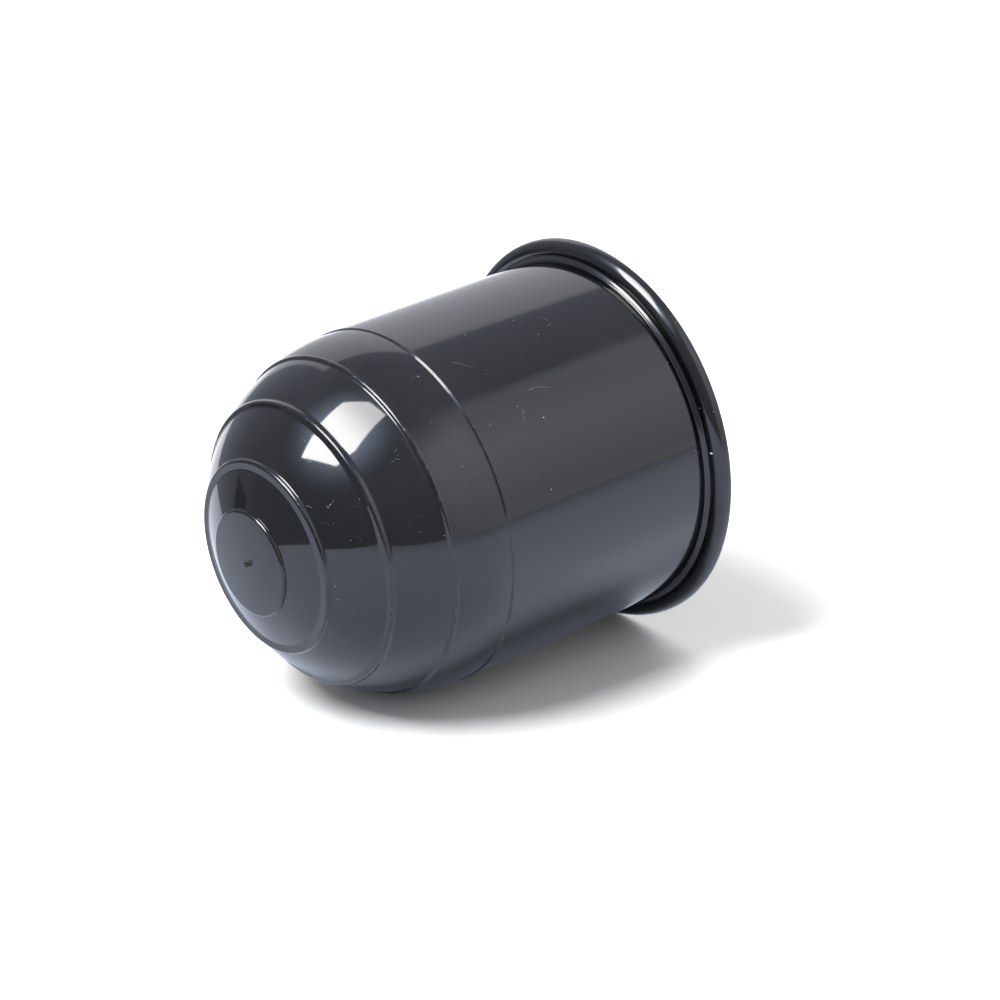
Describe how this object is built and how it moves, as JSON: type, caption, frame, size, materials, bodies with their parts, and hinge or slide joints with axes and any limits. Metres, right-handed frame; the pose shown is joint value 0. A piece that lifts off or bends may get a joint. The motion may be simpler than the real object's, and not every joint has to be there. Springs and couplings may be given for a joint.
{
  "type": "tow ball cover",
  "caption": "Thin-walled round cap with a stepped dome, a flat button on top and a rolled rim at its open mouth, pushed down over a tow ball.",
  "frame": {"origin": "centre of the open mouth, on the plane of the rim that the cover stands on", "axes": "+Z along the axis of the cover, from the mouth up to the closed dome"},
  "size_m": [0.0606, 0.0606, 0.0673],
  "materials": {
    "black_plastic": "glossy moulded surface with fine scratches"
  },
  "bodies": {
    "root": {"ball_cover": "black_plastic"}
  },
  "joints": []
}
